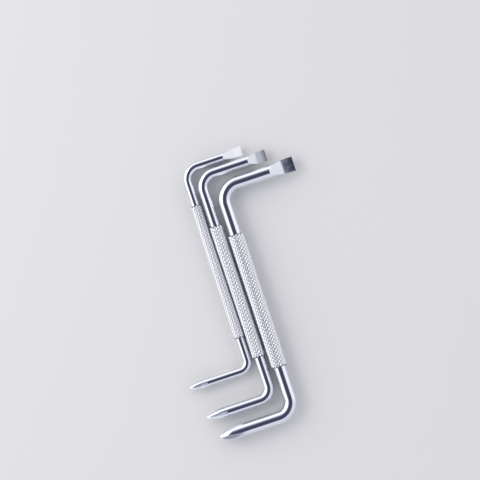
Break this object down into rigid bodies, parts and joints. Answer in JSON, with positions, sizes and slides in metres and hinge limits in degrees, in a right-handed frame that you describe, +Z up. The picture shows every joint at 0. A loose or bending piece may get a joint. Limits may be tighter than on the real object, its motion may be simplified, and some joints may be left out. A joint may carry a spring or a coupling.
{
  "type": "offset screwdriver",
  "caption": "Nested set of Z-shaped offset screwdrivers, each one steel bar with a flat blade on one arm, a cross point on the other and a knurled grip between.",
  "frame": {"origin": "middle of the set's footprint, on the flat surface that the tools lie on", "axes": "+Z up, away from the surface; the shafts run along Y with the blade arms at the +Y end; the blade arms point to +X and the cross arms to -X; the small tool is at the -X side of the row and the large one at the +X side"},
  "size_m": [0.0642, 0.1052, 0.006],
  "materials": {
    "plated_steel": "bright nickel-chrome plate over a ground bar, rolled diamond knurl on the grip, ground blade faces"
  },
  "bodies": {
    "large_tool": {"large_screwdriver": "plated_steel"},
    "medium_tool": {"medium_screwdriver": "plated_steel"},
    "small_tool": {"small_screwdriver": "plated_steel"}
  },
  "joints": [
    {"name": "medium_lift", "type": "slide", "parent": "large_tool", "child": "medium_tool", "axis": [0, 0, 1], "range_m": [0, 0.04]},
    {"name": "small_lift", "type": "slide", "parent": "large_tool", "child": "small_tool", "axis": [0, 0, 1], "range_m": [0, 0.07]}
  ]
}
